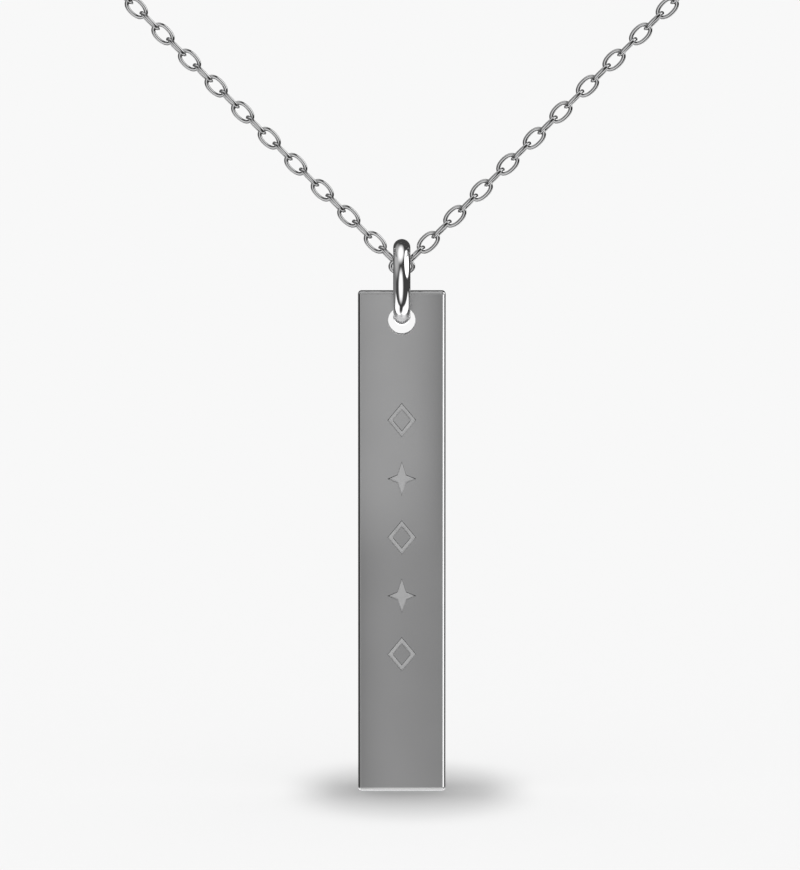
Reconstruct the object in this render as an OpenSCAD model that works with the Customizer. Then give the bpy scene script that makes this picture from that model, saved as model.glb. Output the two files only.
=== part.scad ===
// Bar necklace: a flat upright bar that hangs by a jump ring from a fine cable chain.
// The origin is the nape, at the back of the loop. +Z is up, and the wearer faces -Y.

/* [Bar] */
// Height of the bar
bar_height = 35; // [25:0.5:45]
// Width of the bar
bar_width = 6.1; // [5:0.1:8]
// Thickness of the bar
bar_thickness = 1.2; // [1:0.1:1.3]
// Radius of the rounding along every edge of the bar
edge_radius = 0.25; // [0.1:0.05:0.4]
// Diameter of the hole that the jump ring passes through
hole_diameter = 1.9; // [1.85:0.05:2.2]
// Distance from the bar's top edge down to the hole's centre
hole_drop = 2.07; // [1.8:0.01:2.4]

/* [Engraving] */
// Number of figures engraved in a column on the front
figure_count = 5; // [1:1:5]
// Distance from the bar's top edge down to the first figure's centre
figure_drop = 9; // [7:0.1:10]
// Distance from one figure's centre to the next
figure_pitch = 4.1; // [3:0.1:4.5]
// Width of a figure
figure_width = 2; // [1.5:0.1:3]
// Height of a figure
figure_height = 2.4; // [1.8:0.1:2.8]
// Width of the engraved line
figure_stroke = 0.3; // [0.2:0.05:0.4]
// Depth of the engraving
figure_depth = 0.12; // [0.05:0.01:0.3]

/* [Jump ring] */
// Outer diameter of the jump ring
ring_outer = 6; // [5.8:0.1:7]
// Diameter of the jump ring's wire
ring_wire = 1.2; // [1:0.05:1.25]
// Drop of the hole's centre below the middle of the wire that it hangs on
hang_drop = 0.26; // [0.1:0.01:0.28]

/* [Chain] */
// Outer width of a link
link_width = 1.22; // [1.15:0.01:1.3]
// Diameter of a link's wire
link_wire = 0.26; // [0.2:0.01:0.26]
// Distance from one link's centre to the next
link_pitch = 1.29; // [1.2:0.01:1.4]
// Free space between two linked wires
link_gap = 0.1; // [0.1:0.01:0.12]
// Links in each arm of the V
arm_links = 20; // [10:2:20]
// Rise of the V's arms from the horizontal, in degrees
arm_rise = 44.5; // [40:0.5:50]
// How far an arm's line starts inside the middle of the foot link's end bend
arm_inset = 0.2; // [0:0.05:0.2]
// Turn of each second link about the arm, in degrees
link_turn = 82; // [75:1:90]

/* [Loop] */
// How far the V lies in front of the nape
front_reach = 109; // [108:0.5:110]
// How far the link at the V's foot lies below the nape
front_drop = 108.5; // [107:0.5:110]

/* [Clasp] */
// Outer diameter of the spring ring clasp
clasp_outer = 5.6; // [5:0.1:6]
// Diameter of the clasp's tube
clasp_wire = 1; // [0.8:0.1:1.1]
// Outer diameter of the ear that holds the chain's end
ear_outer = 1.64; // [1.6:0.02:1.7]
// Diameter of the ear's wire
ear_wire = 0.44; // [0.4:0.02:0.46]
// Diameter of the thumb knob
knob_diameter = 0.7; // [0.5:0.1:0.9]
// Height of the thumb knob above the clasp's tube
knob_height = 0.6; // [0.3:0.1:1]
// Outer diameter of the ring that the clasp hooks
end_ring_outer = 3.1; // [3:0.1:3.2]
// Diameter of the end ring's wire
end_ring_wire = 0.5; // [0.4:0.05:0.5]

/* [Hidden] */
$fn = 32;
cut_through = 1; // how far a cutter runs past the face that it opens
small_gap = 0.1; // free space between pieces that hang on each other

// Heights of the pendant's pieces
ring_mean = (ring_outer - ring_wire) / 2;
ring_inner = ring_mean - ring_wire / 2;
ring_z = -front_drop + link_width / 2 + small_gap - ring_inner;
hang_z = ring_z - ring_mean;
bar_top = hang_z - hang_drop + hole_drop;
bar_z = bar_top - bar_height / 2;

// Sizes of a link, to the middle of its wire
link_end_radius = (link_width - link_wire) / 2;
link_half_length = (link_pitch + 2 * link_wire / 2 + link_gap) / 2;
link_straight = 2 * (link_half_length - link_end_radius);

// An arm's line starts inside the middle of the foot link's end bend and runs straight
arm_start = link_straight / 2 - arm_inset;
foot_reach = arm_inset * cos(arm_rise) + sqrt(link_end_radius ^ 2 - (arm_inset * sin(arm_rise)) ^ 2);
first_link = foot_reach - link_wire - link_gap + link_half_length;
last_link = first_link + (arm_links - 1) * link_pitch;
arm_direction = [cos(arm_rise), 0, sin(arm_rise)];
arm_end = last_link + link_half_length + link_wire / 2 + small_gap;

// Places along the clasp, on the X axis
clasp_mean = (clasp_outer - clasp_wire) / 2;
end_ring_mean = (end_ring_outer - end_ring_wire) / 2;
end_ring_x = clasp_wire / 2 + small_gap - clasp_mean - end_ring_mean + end_ring_wire / 2;
ear_mean = (ear_outer - ear_wire) / 2;
ear_x = clasp_mean + clasp_wire / 2 + ear_mean;
knob_angle = 120;

// The wearer's left half of the loop, from the end of the V to the clasp
back_sides = 8;
back_steps = 3; // rings for each stretch between two points
back_points = [
    [arm_start, -front_reach, -front_drop] + arm_end * arm_direction,
    [30, -107.5, -79.5],
    [41, -102.5, -69],
    [50.5, -94, -58.5],
    [58, -83, -48],
    [62.5, -70, -39],
    [64, -56, -30],
    [61.5, -42, -22],
    [55.5, -28.5, -15],
    [46, -17, -9.5],
    [34, -8, -5],
    [20, -2, -1.5],
    [4.4, 0, 0],
];
back_end_direction = [-1, 0, 0];

// Curve through the points, with a set direction at both ends
function with_ends(points, first, last) = let (n = len(points)) concat(
    [points[1] - 2 * norm(points[1] - points[0]) * first],
    points,
    [points[n - 2] + 2 * norm(points[n - 1] - points[n - 2]) * last]
);
function curve_terms(p, i) = [
    2 * p[i],
    p[i + 1] - p[i - 1],
    2 * p[i - 1] - 5 * p[i] + 4 * p[i + 1] - p[i + 2],
    3 * p[i] - p[i - 1] - 3 * p[i + 1] + p[i + 2],
];
function curve_point(c, t) = (c[0] + c[1] * t + c[2] * t ^ 2 + c[3] * t ^ 3) / 2;
function curve_slope(c, t) = c[1] + 2 * c[2] * t + 3 * c[3] * t ^ 2;
function unit(v) = v / norm(v);

// One ring of a tube: its sides stand across the curve, level with the outward normal
function tube_ring(place, slope, radius, sides) = let (
    along = unit(slope),
    outward = unit(cross(along, [0, 0, 1])),
    up = cross(outward, along)
) [for (k = [0 : sides - 1]) let (a = 360 * (k + 0.5) / sides)
    place + radius * (cos(a) * outward + sin(a) * up)];

module swept_tube(points, first, last, radius, sides, steps) {
    p = with_ends(points, first, last);
    spans = len(points) - 1;
    rings = [for (i = [1 : spans], s = [0 : (i == spans ? steps : steps - 1)])
        let (c = curve_terms(p, i), t = s / steps)
        tube_ring(curve_point(c, t), curve_slope(c, t), radius, sides)];
    count = len(rings);
    polyhedron(
        points = [for (ring = rings) each ring],
        faces = concat(
            [[for (k = [0 : sides - 1]) k]],
            [for (r = [0 : count - 2], k = [0 : sides - 1]) let (n = (k + 1) % sides)
                [r * sides + k, (r + 1) * sides + k, (r + 1) * sides + n, r * sides + n]],
            [[for (k = [sides - 1 : -1 : 0]) (count - 1) * sides + k]]
        )
    );
}

module torus(mean_radius, wire)
    rotate_extrude() translate([mean_radius, 0]) circle(d = wire);

// A rectangle with round corners, centred
module rounded_rectangle(width, height, radius) {
    square([width - 2 * radius, height], center = true);
    square([width, height - 2 * radius], center = true);
    for (x = [-1, 1], y = [-1, 1])
        translate([x * (width / 2 - radius), y * (height / 2 - radius)]) circle(radius);
}

// A block whose twelve edges are all rounded, centred
module rounded_block(size, radius)
    intersection() {
        linear_extrude(size.z, center = true) rounded_rectangle(size.x, size.y, radius);
        rotate([90, 0, 0]) linear_extrude(size.y, center = true)
            rounded_rectangle(size.x, size.z, radius);
        rotate([90, 0, 90]) linear_extrude(size.x, center = true)
            rounded_rectangle(size.y, size.z, radius);
    }

module lozenge(half_width, half_height)
    polygon([[half_width, 0], [0, half_height], [-half_width, 0], [0, -half_height]]);

// An open lozenge drawn with one engraved line
module open_lozenge() {
    half = [figure_width, figure_height] / 2;
    inner = 1 - figure_stroke * norm(half) / (half.x * half.y);
    difference() {
        lozenge(half.x, half.y);
        lozenge(half.x * inner, half.y * inner);
    }
}

// A star with four points
module four_point_star() {
    half = [figure_width, figure_height] / 2;
    waist = figure_stroke;
    polygon([for (q = [0 : 3], k = [0, 1])
        k == 0 ? [cos(90 * q) * half.x, sin(90 * q) * half.y]
               : waist * sqrt(2) * [cos(90 * q + 45), sin(90 * q + 45)]]);
}

// The engraved figures stand in a column, a lozenge and a star in turn
module figure_cutters()
    for (i = [0 : figure_count - 1])
        translate([0, bar_height / 2 - figure_drop - i * figure_pitch, 0])
            translate([0, 0, bar_thickness / 2 - figure_depth])
                linear_extrude(figure_depth + cut_through)
                    if (i % 2 == 0) open_lozenge(); else four_point_star();

module bar()
    color([0.55, 0.56, 0.57])
    translate([0, -front_reach, bar_z]) rotate([90, 0, 0])
        difference() {
            rounded_block([bar_width, bar_height, bar_thickness], edge_radius);
            translate([0, bar_height / 2 - hole_drop, 0])
                cylinder(h = bar_thickness + 2 * cut_through, d = hole_diameter, center = true);
            figure_cutters();
        }

module jump_ring()
    color([0.85, 0.86, 0.88])
    translate([0, -front_reach, ring_z]) rotate([0, 90, 0]) torus(ring_mean, ring_wire);

// A link lies in the XY plane, with its length along X
module link() {
    for (side = [-1, 1]) {
        translate([side * link_straight / 2, 0, 0]) rotate(-side * 90)
            rotate_extrude(angle = 180) translate([link_end_radius, 0]) circle(d = link_wire);
        translate([0, side * link_end_radius, 0]) rotate([0, 90, 0])
            cylinder(h = link_straight, d = link_wire, center = true);
    }
}

// The V that hangs at the front: a foot link under the jump ring's wire, and two arms
module chain_front()
    color([0.7, 0.71, 0.72])
    translate([0, -front_reach, -front_drop]) {
        rotate([90, 0, 0]) link();
        for (side = [-1, 1]) mirror([side < 0 ? 1 : 0, 0, 0])
            translate([arm_start, 0, 0]) rotate([0, -arm_rise, 0])
                for (i = [0 : arm_links - 1])
                    translate([first_link + i * link_pitch, 0, 0])
                        rotate([90 + (i % 2 == 0 ? link_turn : 0), 0, 0]) link();
    }

// The rest of the loop, as two plain tubes as wide as the links
module chain_back()
    color([0.6, 0.61, 0.62])
    for (side = [-1, 1]) mirror([side < 0 ? 1 : 0, 0, 0])
        swept_tube(back_points, arm_direction, back_end_direction,
            link_width / 2, back_sides, back_steps);

// A spring ring clasp, closed, with the ear that the chain's end is linked to
module clasp()
    color([0.8, 0.81, 0.83]) {
        rotate([90, 0, 0]) torus(clasp_mean, clasp_wire);
        translate([ear_x, 0, 0]) torus(ear_mean, ear_wire);
        rotate([0, -knob_angle, 0]) translate([clasp_mean, 0, 0]) rotate([0, 90, 0])
            cylinder(h = clasp_wire / 2 + knob_height, d = knob_diameter);
    }

module end_ring()
    color([0.8, 0.81, 0.83])
    translate([end_ring_x, 0, 0]) torus(end_ring_mean, end_ring_wire);

bar();
jump_ring();
chain_front();
chain_back();
clasp();
end_ring();
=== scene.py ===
"""Looks of a bar necklace: a satin bar, a polished jump ring and a fine cable chain."""
import math
import random

import bmesh
import bpy
import numpy as np
from mathutils import Matrix, Vector


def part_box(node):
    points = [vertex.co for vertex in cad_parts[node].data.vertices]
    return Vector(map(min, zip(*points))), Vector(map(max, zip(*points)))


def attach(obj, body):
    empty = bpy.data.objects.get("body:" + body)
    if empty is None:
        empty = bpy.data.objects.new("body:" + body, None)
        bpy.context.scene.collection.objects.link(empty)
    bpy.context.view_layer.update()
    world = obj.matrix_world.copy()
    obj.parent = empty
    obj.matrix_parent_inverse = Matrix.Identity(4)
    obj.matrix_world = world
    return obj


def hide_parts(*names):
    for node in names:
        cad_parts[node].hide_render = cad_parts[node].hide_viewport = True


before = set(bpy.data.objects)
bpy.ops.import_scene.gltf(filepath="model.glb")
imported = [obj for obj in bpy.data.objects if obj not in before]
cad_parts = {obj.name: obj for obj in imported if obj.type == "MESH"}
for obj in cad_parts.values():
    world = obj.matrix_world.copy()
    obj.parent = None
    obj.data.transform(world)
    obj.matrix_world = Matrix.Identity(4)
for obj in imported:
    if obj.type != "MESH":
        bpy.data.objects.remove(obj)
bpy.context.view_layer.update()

MM = 0.001

# Sizes of a link. A roundness of 2 is an ellipse, and more is squarer.
LINK_WIDTH = 1.22 * MM
LINK_WIRE = 0.285 * MM
LINK_PITCH = 1.29 * MM
LINK_CLEAR = 0.004 * MM
LINK_ROUNDNESS = 2.2
LINK_TURN = math.radians(80)
LINK_WOBBLE = math.radians(2.5)

# The V: its foot link's middle, how far to the side each arm's line starts, and along that line
# the middle of the first link and the arm's end
FOOT = Vector((0, -109, -108.5)) * MM
ARM_RISE = math.radians(44.5)
ARM_START = 0.145 * MM
FIRST_LINK = 1.09 * MM
ARM_END = 26.63 * MM
ARM_LINKS = 20

# Steps round a link and sides of its wire, where it shows close up and at the back
FRONT_LINK = (56, 16)
BACK_LINK = (40, 12)

# The chain's way round the neck, from the end of the V to the clasp, in millimetres
BACK_POINTS = [
    (30, -107.5, -79.5),
    (41, -102.5, -69),
    (50.5, -94, -58.5),
    (58, -83, -48),
    (62.5, -70, -39),
    (64, -56, -30),
    (61.5, -42, -22),
    (55.5, -28.5, -15),
    (46, -17, -9.5),
    (34, -8, -5),
    (20, -2, -1.5),
    (4.4, 0, 0),
]
CURVE_STEPS = 40
CHAIN_END_X = 3.64 * MM

# The jump ring's steps round and sides of its wire
RING_STEPS = 192
RING_SIDES = 48

# Sizes of the bar and its hole
EDGE_RADIUS = 0.25 * MM
EDGE_STEPS = 6
HOLE_RADIUS = 0.95 * MM
HOLE_DROP = 2.07 * MM
HOLE_STEPS = 96
RIM_CHAMFER = 0.02 * MM
MERGE = 0.0001 * MM

# The engraved figures: how far below the top the first one is, their half width and half height,
# and how far a cut leans down for each millimetre that it goes in. Cutters stand out by CUT_REACH.
FIGURES = 5
FIGURE_DROP = 9 * MM
FIGURE_PITCH = 4.1 * MM
FIGURE_HALF = (1.0 * MM, 1.2 * MM)
FIGURE_STROKE = 0.3 * MM
FIGURE_DEPTH = 0.12 * MM
FIGURE_SLANT = 0.55
CUT_REACH = 1 * MM

# How far round its rounded edges the bar's satin face reaches before the polish starts, and how
# far the normals of the flat faces bend outwards at the sides
LEFT_POLISH = math.radians(15)
RIGHT_POLISH = math.radians(7)
LOWER_POLISH = math.radians(30)
CROWN = math.radians(4)

# What tells the bar's faces apart: how near the rounded skin a face lies and how far it looks
# outwards, how straight a flat and a broad one look, how far the hole's wall reaches in hole
# radii, and how far down a cut's upper wall looks, which gets a dark metal as painted shade
SKIN_SLACK = 0.02 * MM
SKIN_FACING = 0.9
FLAT_FACING = 0.9995
BROAD_FACING = 0.5
HOLE_REACH = 1.3
UPPER_WALL = -0.3

# The photograph's frame
PHOTO_W, PHOTO_H = 800, 870
MM_PER_PIXEL = 0.0696
BAR_CENTRE_PX = 401.8
BAR_FOOT_PX = 792.3
CAMERA_DISTANCE = 0.5
CAMERA_ELEVATION = math.radians(5)
SENSOR = 36

# Brightness of the pale ground, the floor's own tone, and the share of its light from the sky
PALE = 0.9387
FLOOR_ALBEDO = 0.8
SKY_SHARE = 0.57
FLOOR_GAP = 0.05 * MM
FLOOR_SIZE = 6.0

RANDOM = random.Random(7)


def add_object(name, mesh):
    obj = bpy.data.objects.new(name, mesh)
    bpy.context.scene.collection.objects.link(obj)
    return obj


def mesh_from(name, points, faces, smooth=True):
    mesh = bpy.data.meshes.new(name)
    mesh.from_pydata([tuple(p) for p in points], [], [tuple(f) for f in faces])
    mesh.validate()
    mesh.polygons.foreach_set("use_smooth", [smooth] * len(mesh.polygons))
    mesh.update()
    return mesh


def piece(name, mesh, body, slot, *nodes):
    """A new piece of the necklace that rides on a body and stands for CAD nodes."""
    obj = add_object(name, mesh)
    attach(obj, body)
    if nodes:
        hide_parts(*nodes)
    return obj


def closed_tube(path, outward, radius, sides):
    """Points and faces of a round wire along a closed flat path, given its outward directions."""
    path, outward = np.array(path), np.array(outward)
    across = np.array([0, 0, 1.0])
    angles = np.arange(sides) * 2 * np.pi / sides
    rings = (
        path[:, None, :]
        + radius * np.cos(angles)[None, :, None] * outward[:, None, :]
        + radius * np.sin(angles)[None, :, None] * across
    )
    count = len(path)
    faces = []
    for i in range(count):
        for k in range(sides):
            j, n = (i + 1) % count, (k + 1) % sides
            faces.append((i * sides + k, j * sides + k, j * sides + n, i * sides + n))
    return rings.reshape(-1, 3), np.array(faces)


def flat_normals(path):
    ahead = np.roll(path, -1, 0) - np.roll(path, 1, 0)
    normal = np.stack([ahead[:, 1], -ahead[:, 0], 0 * ahead[:, 0]], 1)
    return normal / np.linalg.norm(normal, axis=1)[:, None]


def link_shape(steps, sides):
    """One oval link in the XY plane, with its length along X."""
    half_length = (LINK_PITCH + LINK_WIRE + LINK_CLEAR) / 2
    half_width = (LINK_WIDTH - LINK_WIRE) / 2
    angle = np.arange(steps) * 2 * np.pi / steps
    power = 2 / LINK_ROUNDNESS
    path = np.stack(
        [
            half_length * np.sign(np.cos(angle)) * np.abs(np.cos(angle)) ** power,
            half_width * np.sign(np.sin(angle)) * np.abs(np.sin(angle)) ** power,
            0 * angle,
        ],
        1,
    )
    path = even_steps(path)
    return closed_tube(path, flat_normals(path), LINK_WIRE / 2, sides)


def even_steps(path):
    """The same closed path with its points an equal distance apart."""
    loop = np.vstack([path, path[:1]])
    length = np.concatenate([[0], np.cumsum(np.linalg.norm(np.diff(loop, axis=0), axis=1))])
    wanted = np.linspace(0, length[-1], len(path), endpoint=False)
    return np.stack([np.interp(wanted, length, loop[:, k]) for k in range(3)], 1)


def link_axes(along, turned):
    """A link's length, width and thickness directions. Each second link is turned."""
    outward = along.cross(Vector((0, 0, 1))).normalized()
    up = outward.cross(along).normalized()
    turn = (LINK_TURN if turned else 0) + RANDOM.uniform(-LINK_WOBBLE, LINK_WOBBLE)
    width = up * math.cos(turn) + outward * math.sin(turn)
    return along, width, along.cross(width)


def joined_links(name, places, steps, sides):
    """One mesh of many links. places holds the centre, direction and turn of each."""
    points, faces = link_shape(steps, sides)
    all_points, all_faces = [], []
    for n, (centre, along, turned) in enumerate(places):
        axes = np.array(link_axes(along, turned))
        all_points.append(points @ axes + np.array(centre))
        all_faces.append(faces + n * len(points))
    return mesh_from(name, np.vstack(all_points), np.vstack(all_faces))


def mirrored(v):
    return Vector((-v.x, v.y, v.z))


def arm_point(distance):
    return FOOT + Vector((ARM_START, 0, 0)) + arm_direction() * distance


def arm_direction():
    return Vector((math.cos(ARM_RISE), 0, math.sin(ARM_RISE)))


def back_curve():
    """Fine points of the smooth curve through the route's points."""
    points = [arm_point(ARM_END)] + [Vector(p) * MM for p in BACK_POINTS]
    first = points[1] - 2 * (points[1] - points[0]).length * arm_direction()
    last = points[-2] + 2 * (points[-1] - points[-2]).length * Vector((-1, 0, 0))
    p = [first] + points + [last]
    curve = []
    for i in range(1, len(p) - 2):
        terms = (
            2 * p[i],
            p[i + 1] - p[i - 1],
            2 * p[i - 1] - 5 * p[i] + 4 * p[i + 1] - p[i + 2],
            3 * p[i] - p[i - 1] - 3 * p[i + 1] + p[i + 2],
        )
        for s in range(CURVE_STEPS):
            t = s / CURVE_STEPS
            curve.append((terms[0] + terms[1] * t + terms[2] * t**2 + terms[3] * t**3) / 2)
    return curve + [points[-1]]


def back_places():
    """Centre, direction and turn of each link from the end of the V's arm to the clasp."""
    last_arm_link = FIRST_LINK + (ARM_LINKS - 1) * LINK_PITCH
    half_length = (LINK_PITCH + LINK_WIRE + LINK_CLEAR) / 2
    curve = np.array([arm_point(last_arm_link)] + back_curve() + [Vector((0, 0, 0))])
    length = np.concatenate([[0], np.cumsum(np.linalg.norm(np.diff(curve, axis=0), axis=1))])
    end = length[-1] - CHAIN_END_X - half_length
    count = 2 * math.ceil(end / LINK_PITCH / 2)

    def at(distance):
        return Vector([np.interp(distance, length, curve[:, k]) for k in range(3)])

    places = []
    for i in range(1, count + 1):
        middle = end * i / count
        ahead = at(middle + LINK_PITCH / 2) - at(middle - LINK_PITCH / 2)
        places.append((at(middle), ahead.normalized(), i % 2 == 1))
    return places


def arm_places():
    """The same for the links of the V's arm on the wearer's left, which is at positive X."""
    return [
        (arm_point(FIRST_LINK + i * LINK_PITCH), arm_direction(), i % 2 == 0)
        for i in range(ARM_LINKS)
    ]


def other_side(places):
    return [(mirrored(c), mirrored(d) * -1, turned) for c, d, turned in places]


def rounded_block(half, radius, steps):
    """Points and faces of a block with all edges rounded, centred on the origin."""
    inner = np.array(half) - radius

    def stations(axis):
        rim = [inner[axis] + radius * math.tan(math.pi / 4 * k / steps) for k in range(steps + 1)]
        return [-v for v in reversed(rim)] + rim

    points, faces, index = [], [], {}

    def corner(p):
        core = np.clip(p, -inner, inner)
        off = np.array(p) - core
        place = core + radius * off / np.linalg.norm(off)
        key = tuple(np.round(place / MERGE).astype(int))
        if key not in index:
            index[key] = len(points)
            points.append(place)
        return index[key]

    for axis in range(3):
        a, b = [k for k in range(3) if k != axis]
        for side in (-1, 1):
            for i in range(2 * steps + 1):
                for j in range(2 * steps + 1):
                    quad = []
                    for da, db in ((0, 0), (1, 0), (1, 1), (0, 1)):
                        p = np.zeros(3)
                        p[axis] = side * half[axis]
                        p[a] = stations(a)[i + da]
                        p[b] = stations(b)[j + db]
                        quad.append(corner(p))
                    if (side > 0) == (axis == 1):
                        quad.reverse()
                    faces.append(quad)
    return points, faces


def lathe(profile, axis_point, steps):
    """A closed turned solid about Y through axis_point. profile holds radius and y."""
    points, faces = [], []
    rows = len(profile)
    for s in range(steps):
        a = 2 * math.pi * s / steps
        for radius, y in profile:
            points.append(axis_point + Vector((radius * math.cos(a), y, radius * math.sin(a))))
    for s in range(steps):
        n = (s + 1) % steps
        for r in range(rows - 1):
            faces.append((s * rows + r, n * rows + r, n * rows + r + 1, s * rows + r + 1))
    faces.append([s * rows for s in reversed(range(steps))])
    faces.append([s * rows + rows - 1 for s in range(steps)])
    return points, faces


def cut_levels(face_y):
    """The two depths of a figure's cutter, each with its rise: the cut leans down as it goes in."""
    depths = (-CUT_REACH, FIGURE_DEPTH)
    return [(face_y + depth, -FIGURE_SLANT * depth) for depth in depths]


def prism(outline, centre, face_y):
    """A figure's cutter: a closed prism of a flat outline in XZ."""
    n = len(outline)
    points = [
        centre + Vector((x, y, z + rise)) for y, rise in cut_levels(face_y) for x, z in outline
    ]
    faces = [list(range(n)), list(reversed(range(n, 2 * n)))]
    faces += [(i, n + i, n + (i + 1) % n, (i + 1) % n) for i in range(n)]
    return points, faces


def face_outwards(mesh):
    editable = bmesh.new()
    editable.from_mesh(mesh)
    bmesh.ops.recalc_face_normals(editable, faces=editable.faces)
    editable.to_mesh(mesh)
    editable.free()


def carve(target, cutters):
    """Cuts closed meshes out of an object, then makes the result its own mesh."""
    objects = []
    for points, faces in cutters:
        mesh = mesh_from("cutter", points, faces, smooth=False)
        face_outwards(mesh)
        cutter = add_object("cutter", mesh)
        objects.append(cutter)
        modifier = target.modifiers.new("cut", "BOOLEAN")
        modifier.object = cutter
        modifier.operation = "DIFFERENCE"
        modifier.solver = "EXACT"
    graph = bpy.context.evaluated_depsgraph_get()
    graph.update()
    result = bpy.data.meshes.new_from_object(target.evaluated_get(graph))
    target.modifiers.clear()
    target.data = result
    for cutter in objects:
        bpy.data.objects.remove(cutter)


class Nodes:
    """A short way to write a node tree."""

    def __init__(self, tree):
        self.tree = tree
        tree.nodes.clear()

    def add(self, kind, inputs=(), **settings):
        node = self.tree.nodes.new(kind)
        for key, value in settings.items():
            setattr(node, key, value)
        for key, value in dict(inputs).items():
            if isinstance(value, bpy.types.NodeSocket):
                self.tree.links.new(value, node.inputs[key])
            else:
                node.inputs[key].default_value = value
        return node

    def math(self, operation, a, b=0.0, c=0.0):
        node = self.add("ShaderNodeMath", {0: a, 1: b, 2: c}, operation=operation)
        return node.outputs[0]

    def mapped(self, value, low, high, to_low, to_high, smooth=False):
        node = self.add(
            "ShaderNodeMapRange",
            {0: value, 1: low, 2: high, 3: to_low, 4: to_high},
            interpolation_type="SMOOTHSTEP" if smooth else "LINEAR",
        )
        return node.outputs[0]

    def noise(self, where, scale, detail=2.0, roughness=0.5):
        node = self.add(
            "ShaderNodeTexNoise",
            {"Vector": where, "Scale": scale, "Detail": detail, "Roughness": roughness},
        )
        return node.outputs["Fac"]


def grey(value):
    return (value, value, value, 1)


def new_material(name):
    material = bpy.data.materials.new(name)
    material.use_nodes = True
    return material, Nodes(material.node_tree)


# The part of a noise's range that carries most of it, how much finer the gloss drifts than the
# tone, and how blue the metal is
NOISE_RANGE = (0.3, 0.7)
WEAR_FINER = 6
BLUE = 1.005


def metal(name, tone, drift, gloss, grain, painted_shade=None):
    """Bare metal whose tone and gloss drift a little, with a fine grain in its surface."""
    material, n = new_material(name)
    place = n.add("ShaderNodeTexCoord").outputs["Object"]
    change, scale = drift
    rough, rough_change = gloss
    grain_scale, grain_depth = grain
    shade = n.mapped(n.noise(place, scale), *NOISE_RANGE, tone - change, tone + change)
    # An optional factor darkens the tone by place on the piece: painted shade.
    if painted_shade:
        shade = n.math("MULTIPLY", shade, painted_shade(n, place))
    blue = n.math("MULTIPLY", shade, BLUE)
    colour = n.add("ShaderNodeCombineColor", {0: shade, 1: shade, 2: blue})
    wear = n.noise(place, scale * WEAR_FINER, detail=4.0)
    roughness = n.mapped(wear, *NOISE_RANGE, rough - rough_change, rough + rough_change)
    height = n.noise(place, grain_scale, detail=3.0)
    bump = n.add("ShaderNodeBump", {"Height": height, "Distance": grain_depth, "Strength": 1.0})
    shader = n.add(
        "ShaderNodeBsdfPrincipled",
        {
            "Base Color": colour.outputs[0],
            "Metallic": 1.0,
            "Roughness": roughness,
            "Normal": bump.outputs[0],
        },
    )
    n.add("ShaderNodeOutputMaterial", {"Surface": shader.outputs[0]})
    return material


# The bar's face, with painted shade that stands in for the studio light's falloff: the tone of its
# lower half, where the change to it starts and ends, from the middle up, and how much of the tone
# is lost at each side, in the lower and in the upper half
LOWER_PAINTED_SHADE_TONE = 0.79
PAINTED_SHADE_STEP = (-3 * MM, 5 * MM)
LEFT_PAINTED_SHADE = (0.22, 0.17)
RIGHT_PAINTED_SHADE = (0.0, 0.34)
SIDE_SHADE_POWER = 2.5


def bar_painted_shade(n, place):
    """Painted shade: the satin face's tone is darker in its lower half and towards both sides."""
    low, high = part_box("bar")
    split = n.add("ShaderNodeSeparateXYZ", {0: place})
    start, end = [(low.z + high.z) / 2 + rise for rise in PAINTED_SHADE_STEP]
    upper = n.mapped(split.outputs[2], start, end, 0.0, 1.0, smooth=True)
    tone = n.mapped(upper, 0.0, 1.0, LOWER_PAINTED_SHADE_TONE, 1.0)
    for side, side_shades in ((-1, LEFT_PAINTED_SHADE), (1, RIGHT_PAINTED_SHADE)):
        across = n.math("MULTIPLY", split.outputs[0], side * 2 / (high.x - low.x))
        near_side = n.math("POWER", n.math("MAXIMUM", across, 0.0), SIDE_SHADE_POWER)
        painted_side_shade = n.math("MULTIPLY", near_side, n.mapped(upper, 0.0, 1.0, *side_shades))
        tone = n.math("SUBTRACT", tone, painted_side_shade)
    return tone


# Each metal's tone, the size and scale of its drift, its roughness and the drift of that, and the
# scale and depth of its grain
# The satin face's tone also gets painted shade: darker in its lower half and towards both sides.
SATIN = metal("satin_steel", 0.26, (0.012, 120), (0.34, 0.02), (30000, 0.0004 * MM), bar_painted_shade)
EDGE = metal("polished_edge", 0.45, (0.02, 400), (0.1, 0.02), (9000, 0.0002 * MM))
BORE = metal("bright_bore", 0.9, (0.02, 400), (0.5, 0.03), (9000, 0.001 * MM))
# A near-black metal for the cuts' upper walls: painted shade under the top of each stroke.
SHADE_PAINTED_WALL = metal("painted_shade_cut_wall", 0.1, (0.01, 900), (0.5, 0.05), (30000, 0.002 * MM))
ENGRAVED = metal("engraved_steel", 0.335, (0.02, 900), (0.42, 0.05), (30000, 0.002 * MM))
POLISHED = metal("polished_steel", 0.84, (0.02, 300), (0.06, 0.015), (9000, 0.0001 * MM))
CHAIN_METAL = metal("chain_steel", 0.445, (0.03, 500), (0.12, 0.03), (12000, 0.0004 * MM))


def lozenge(half_x, half_z):
    return [(half_x, 0), (0, half_z), (-half_x, 0), (0, -half_z)]


def star(half_x, half_z, waist):
    corners = []
    notch_reach = waist * math.sqrt(2)
    for q in range(4):
        tip, notch = math.radians(90 * q), math.radians(90 * q + 45)
        corners.append((math.cos(tip) * half_x, math.sin(tip) * half_z))
        corners.append((math.cos(notch) * notch_reach, math.sin(notch) * notch_reach))
    return corners


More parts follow.
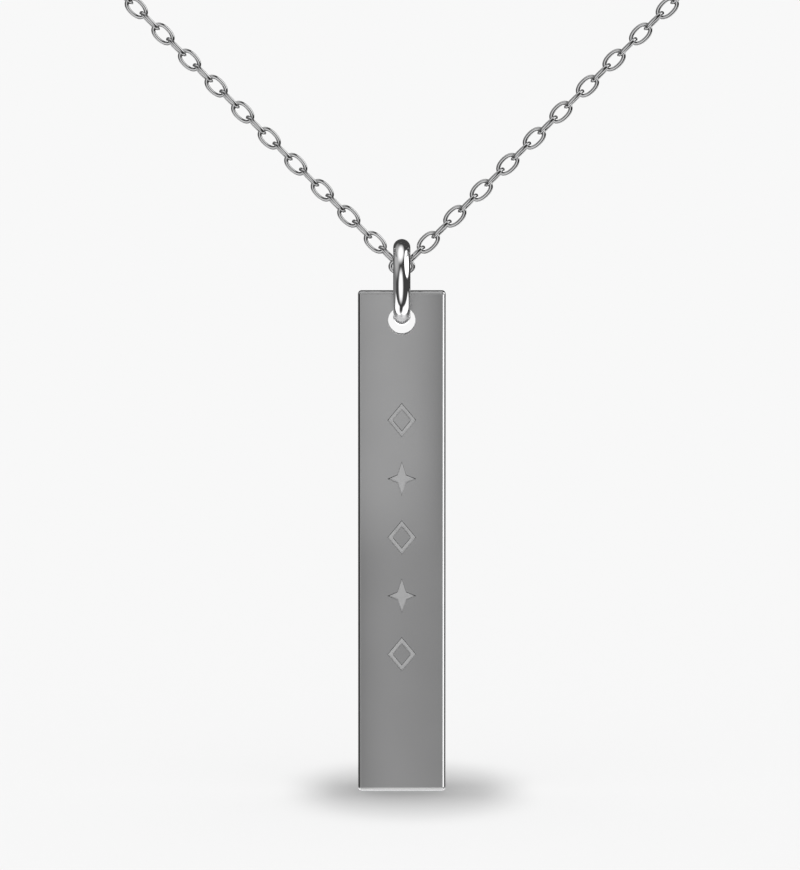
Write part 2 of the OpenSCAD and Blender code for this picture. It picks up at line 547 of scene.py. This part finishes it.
def lozenge_frame(centre, face_y):
    """An open lozenge's cutter: the prism of its outline with the middle left out.

    Its points are four loops of four: outer and inner at the front, then outer and inner inside.
    """
    half_x, half_z = FIGURE_HALF
    inner = 1 - FIGURE_STROKE * math.hypot(half_x, half_z) / (half_x * half_z)
    outer_ring = lozenge(half_x, half_z)
    inner_ring = lozenge(half_x * inner, half_z * inner)
    points = [
        centre + Vector((x, y, z + rise))
        for y, rise in cut_levels(face_y)
        for ring in (outer_ring, inner_ring)
        for x, z in ring
    ]
    faces = []
    for i in range(4):
        j = (i + 1) % 4
        faces.append((i, j, 4 + j, 4 + i))
        faces.append((8 + i, 12 + i, 12 + j, 8 + j))
        faces.append((i, 8 + i, 8 + j, j))
        faces.append((4 + i, 4 + j, 12 + j, 12 + i))
    return points, faces


def make_bar():
    low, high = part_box("bar")
    centre, half = (low + high) / 2, (high - low) / 2
    points, faces = rounded_block(half, EDGE_RADIUS, EDGE_STEPS)
    mesh = mesh_from("bar_body", [Vector(p) + centre for p in points], faces)
    obj = piece("bar_body", mesh, "pendant", "bar", "bar")
    hole = Vector((centre.x, centre.y, high.z - HOLE_DROP))
    rim = half.y - RIM_CHAMFER
    cutters = [
        lathe(
            [
                (HOLE_RADIUS + RIM_CHAMFER + CUT_REACH, -half.y - CUT_REACH),
                (HOLE_RADIUS, -rim),
                (HOLE_RADIUS, rim),
                (HOLE_RADIUS + RIM_CHAMFER + CUT_REACH, half.y + CUT_REACH),
            ],
            hole,
            HOLE_STEPS,
        )
    ]
    for i in range(FIGURES):
        spot = Vector((centre.x, centre.y, high.z - FIGURE_DROP - i * FIGURE_PITCH))
        if i % 2 == 0:
            cutters.append(lozenge_frame(spot, -half.y))
        else:
            cutters.append(prism(star(*FIGURE_HALF, FIGURE_STROKE), spot, -half.y))
    carve(obj, cutters)
    finish_bar(obj, centre, half, hole)
    return obj


def finish_bar(obj, centre, half, hole):
    """Gives each face its metal, the rounded edges true normals and the flat faces a low crown."""
    mesh = obj.data
    mesh.materials.clear()
    metals = [SATIN, EDGE, BORE, ENGRAVED, SHADE_PAINTED_WALL]
    for material in metals:
        mesh.materials.append(material)
    inner = Vector([h - EDGE_RADIUS for h in half])

    def from_core(place):
        p = place - centre
        return p - Vector([max(-inner[k], min(inner[k], p[k])) for k in range(3)])

    def is_satin(off):
        side_polish = RIGHT_POLISH if off.x > 0 else LEFT_POLISH
        polish = LOWER_POLISH if -off.z > abs(off.x) else side_polish
        return abs(off.y) > math.cos(polish) * off.length

    def inside_metal(face):
        from_hole = face.center - hole
        if math.hypot(from_hole.x, from_hole.z) < HOLE_REACH * HOLE_RADIUS:
            return BORE
        # The cuts' walls that face down get the dark metal: painted shade.
        return SHADE_PAINTED_WALL if face.normal.z < UPPER_WALL else ENGRAVED

    normals = []
    for face in mesh.polygons:
        face.use_smooth = True
        off = from_core(face.center)
        on_skin = abs(off.length - EDGE_RADIUS) < SKIN_SLACK
        skin = on_skin and face.normal.dot(off) > SKIN_FACING * off.length
        flat = skin and max(abs(c) for c in off) / off.length > FLAT_FACING
        broad = flat and abs(off.y) > BROAD_FACING * off.length
        if skin:
            finish = SATIN if is_satin(off) else EDGE
        else:
            finish = inside_metal(face)
        face.material_index = metals.index(finish)
        for v in face.vertices:
            place = mesh.vertices[v].co
            if broad:
                lean = math.tan(CROWN) * (place.x - centre.x) / half.x
                normals.append(Vector((lean, math.copysign(1, off.y), 0)).normalized())
            elif skin:
                normals.append(from_core(place).normalized())
            else:
                normals.append(face.normal.copy())
    mesh.normals_split_custom_set(normals)


def make_ring():
    low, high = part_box("jump_ring")
    centre = (low + high) / 2
    wire = (high.x - low.x) / 2
    mean = (high.z - low.z) / 2 - wire
    angle = np.arange(RING_STEPS) * 2 * np.pi / RING_STEPS
    path = np.stack([mean * np.cos(angle), mean * np.sin(angle), 0 * angle], 1)
    points, faces = closed_tube(path, path / mean, wire, RING_SIDES)
    turned = points[:, [2, 0, 1]] + np.array(centre)
    mesh = mesh_from("round_ring", turned, faces)
    mesh.materials.append(POLISHED)
    return piece("round_ring", mesh, "ring", "jump_ring", "jump_ring")


def make_chain():
    foot = [(FOOT, Vector((1, 0, 0)), False)]
    arms = arm_places()
    back = back_places()
    strands = [
        ("front_links", foot + arms + other_side(arms), FRONT_LINK, "chain_front"),
        ("left_links", back, BACK_LINK, "chain_back"),
        ("right_links", other_side(back), BACK_LINK, "chain_back"),
    ]
    for name, places, fineness, node in strands:
        mesh = joined_links(name, places, *fineness)
        mesh.materials.append(CHAIN_METAL)
        piece(name, mesh, "chain", "chain", node)


def polish_clasp():
    for name in ("clasp", "end_ring"):
        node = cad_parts[name]
        node.data.materials.clear()
        node.data.materials.append(POLISHED)


def make_camera():
    low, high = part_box("bar")
    scale = MM_PER_PIXEL * MM
    target = Vector(
        (
            (low.x + high.x) / 2 + (PHOTO_W / 2 - BAR_CENTRE_PX) * scale,
            low.y,
            low.z + (BAR_FOOT_PX - PHOTO_H / 2) * scale / math.cos(CAMERA_ELEVATION),
        )
    )
    back = Vector((0, -math.cos(CAMERA_ELEVATION), math.sin(CAMERA_ELEVATION)))
    data = bpy.data.cameras.new("camera")
    data.sensor_width = SENSOR
    data.lens = SENSOR * CAMERA_DISTANCE / (PHOTO_H * scale)
    data.clip_start, data.clip_end = 0.01, 20
    camera = add_object("camera", data)
    camera.location = target + back * CAMERA_DISTANCE
    camera.rotation_euler = back.to_track_quat("Z", "Y").to_euler()
    bpy.context.scene.camera = camera


def make_floor():
    low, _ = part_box("bar")
    half = FLOOR_SIZE / 2
    z = low.z - FLOOR_GAP
    corners = [(-half, -half, z), (half, -half, z), (half, half, z), (-half, half, z)]
    floor = add_object("floor", mesh_from("floor", corners, [(0, 1, 2, 3)]))
    floor.visible_glossy = False
    material, n = new_material("pale_floor")
    shader = n.add("ShaderNodeBsdfDiffuse", {"Color": grey(FLOOR_ALBEDO)})
    n.add("ShaderNodeOutputMaterial", {"Surface": shader.outputs[0]})
    floor.data.materials.append(material)


# What the metal reflects: oval cards in a dim room, each with the azimuth and elevation of its
# middle, the half width and half height that it would have 1 m away, its lean in degrees, the
# softness of its edge and its brightness. Azimuth 0 is where the bar faces, and 90 is on the
# picture's right.
ROOM = 0.06
LEAST_DEPTH = 0.001
SIDE_FADE = 0.05
CARDS = {
    "floor": (180, -75, 4.0, 0.75, 0, 0.15, 1.3),
    "back": (180, -24, 0.35, 0.30, 0, 0.20, 2.0),
    "gap": (-10, -64, 0.30, 0.52, 35, 0.35, 0.05),
    "front": (-13, -7, 0.52, 0.92, 0, 0.5, 1.3),
    "right": (88, 34, 0.65, 0.50, 0, 0.12, 2.0),
    "upper_left": (-100, 38, 0.80, 0.60, 0, 0.6, 0.5),
    "left": (-110, -5, 0.50, 0.35, 0, 0.5, 0.22),
    "top": (-90, 80, 0.52, 0.50, 0, 0.6, 1.3),
}


def towards(azimuth, elevation):
    azimuth, elevation = math.radians(azimuth), math.radians(elevation)
    return Vector(
        (
            math.sin(azimuth) * math.cos(elevation),
            -math.cos(azimuth) * math.cos(elevation),
            math.sin(elevation),
        )
    )


def card_mask(n, direction, azimuth, elevation, half_width, half_height, lean, soft):
    """1 where a direction meets the card, falling to 0 over its soft edge."""
    middle = towards(azimuth, elevation)
    level = middle.cross(Vector((0, 0, 1))).normalized()
    turn = Matrix.Rotation(math.radians(-lean), 3, middle)
    across = turn @ level
    up = turn @ level.cross(middle)

    def along(axis):
        node = n.add("ShaderNodeVectorMath", {0: direction, 1: axis}, operation="DOT_PRODUCT")
        return node.outputs["Value"]

    ahead = along(middle)
    depth = n.math("MAXIMUM", ahead, LEAST_DEPTH)
    sideways = n.math("DIVIDE", along(across / half_width), depth)
    upwards = n.math("DIVIDE", along(up / half_height), depth)
    squares = n.math("ADD", n.math("POWER", sideways, 2.0), n.math("POWER", upwards, 2.0))
    inside = n.mapped(n.math("SQRT", squares), 1 - soft, 1 + soft, 1.0, 0.0, smooth=True)
    return n.math("MULTIPLY", inside, n.mapped(ahead, 0.0, SIDE_FADE, 0.0, 1.0))


def make_studio():
    """The floor is lit by an even sky, and the metal reflects a studio."""
    world = bpy.data.worlds.new("studio")
    bpy.context.scene.world = world
    world.use_nodes = True
    world.cycles.sampling_method = "NONE"
    n = Nodes(world.node_tree)
    direction = n.add("ShaderNodeTexCoord").outputs["Generated"]
    light = ROOM
    for *place, brightness in CARDS.values():
        mask = card_mask(n, direction, *place)
        light = n.add("ShaderNodeMix", {0: mask, 2: light, 3: brightness}).outputs[0]
    ray = n.add("ShaderNodeLightPath")
    sky = PALE / FLOOR_ALBEDO * SKY_SHARE
    seen = n.add("ShaderNodeMix", {0: ray.outputs["Is Diffuse Ray"], 2: light, 3: sky}).outputs[0]
    seen = n.add("ShaderNodeMix", {0: ray.outputs["Is Camera Ray"], 2: seen, 3: PALE}).outputs[0]
    background = n.add("ShaderNodeBackground", {"Color": (1, 1, 1, 1), "Strength": seen})
    n.add("ShaderNodeOutputWorld", {"Surface": background.outputs[0]})


# A row of soft suns overhead. Only a small flag above the picture shades them, and it throws the
# soft oval shadow under the bar. Tilts are towards the camera, in degrees.
SUN_TILTS = [-6, -4, -2, 0, 2, 4, 6]
SUN_SPREAD = 4
FLAG_SHIFT = 0.55 * MM
FLAG_HALF = (7.3 * MM, 10 * MM)
FLAG_HEIGHT = 60 * MM
FLAG_CORNERS = 64
FLAG_TONE = 0.02

# Lights on the bar alone: azimuth and elevation, width and height 1 m away, brightness, and
# whether the other pieces let it through
BAR_LIGHTS = {
    "edge_light": (50, -5, (1.0, 0.3), 2.2, False),
    "low_light": (0, -52, (1.5, 1.0), 2.3, True),
    "back_light": (180, -32, (2.6, 0.5), 1.2, False),
    "top_light": (0, 38, (1.2, 0.5), 0.35, False),
}


def make_suns(flag):
    blockers = bpy.data.collections.new("blocks_suns")
    blockers.objects.link(flag)
    for i, tilt in enumerate(SUN_TILTS):
        data = bpy.data.lights.new(f"sun_{i}", "SUN")
        data.angle = math.radians(SUN_SPREAD)
        tilt = math.radians(tilt)
        share = (1 - SKY_SHARE) / len(SUN_TILTS) / math.cos(tilt)
        data.energy = math.pi * PALE / FLOOR_ALBEDO * share
        sun = add_object(f"sun_{i}", data)
        sun.rotation_euler = (-tilt, 0, 0)
        sun.visible_glossy = False
        sun.light_linking.blocker_collection = blockers


def make_bar_light(name, bar, azimuth, elevation, size, brightness, through):
    """A soft light that only the bar catches, 1 m from its middle."""
    low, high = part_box("bar")
    data = bpy.data.lights.new(name, "AREA")
    data.shape = "RECTANGLE"
    data.size, data.size_y = size
    data.energy = math.pi * data.size * data.size_y * brightness
    outwards = towards(azimuth, elevation)
    light = add_object(name, data)
    light.location = (low + high) / 2 + outwards
    light.rotation_euler = outwards.to_track_quat("Z", "Y").to_euler()
    lit = bpy.data.collections.new(f"lit_by_{name}")
    lit.objects.link(bar)
    light.light_linking.receiver_collection = lit
    if through:
        light.light_linking.blocker_collection = lit


def make_flag():
    low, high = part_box("bar")
    centre = (low + high) / 2
    points = []
    for i in range(FLAG_CORNERS):
        a = 2 * math.pi * i / FLAG_CORNERS
        x, y = FLAG_HALF[0] * math.cos(a), FLAG_HALF[1] * math.sin(a)
        points.append((centre.x + FLAG_SHIFT + x, centre.y + y, low.z + FLAG_HEIGHT))
    flag = add_object("flag", mesh_from("flag", points, [range(FLAG_CORNERS)]))
    material, n = new_material("black_flag")
    shader = n.add("ShaderNodeBsdfDiffuse", {"Color": grey(FLAG_TONE)})
    n.add("ShaderNodeOutputMaterial", {"Surface": shader.outputs[0]})
    flag.data.materials.append(material)
    flag.visible_camera = False
    flag.visible_glossy = False
    flag.visible_diffuse = False
    return flag


bpy.context.scene.view_settings.view_transform = "Standard"
make_camera()
make_floor()
make_studio()
make_suns(make_flag())
bar = make_bar()
for name, light in BAR_LIGHTS.items():
    make_bar_light(name, bar, *light)
make_ring()
make_chain()
polish_clasp()
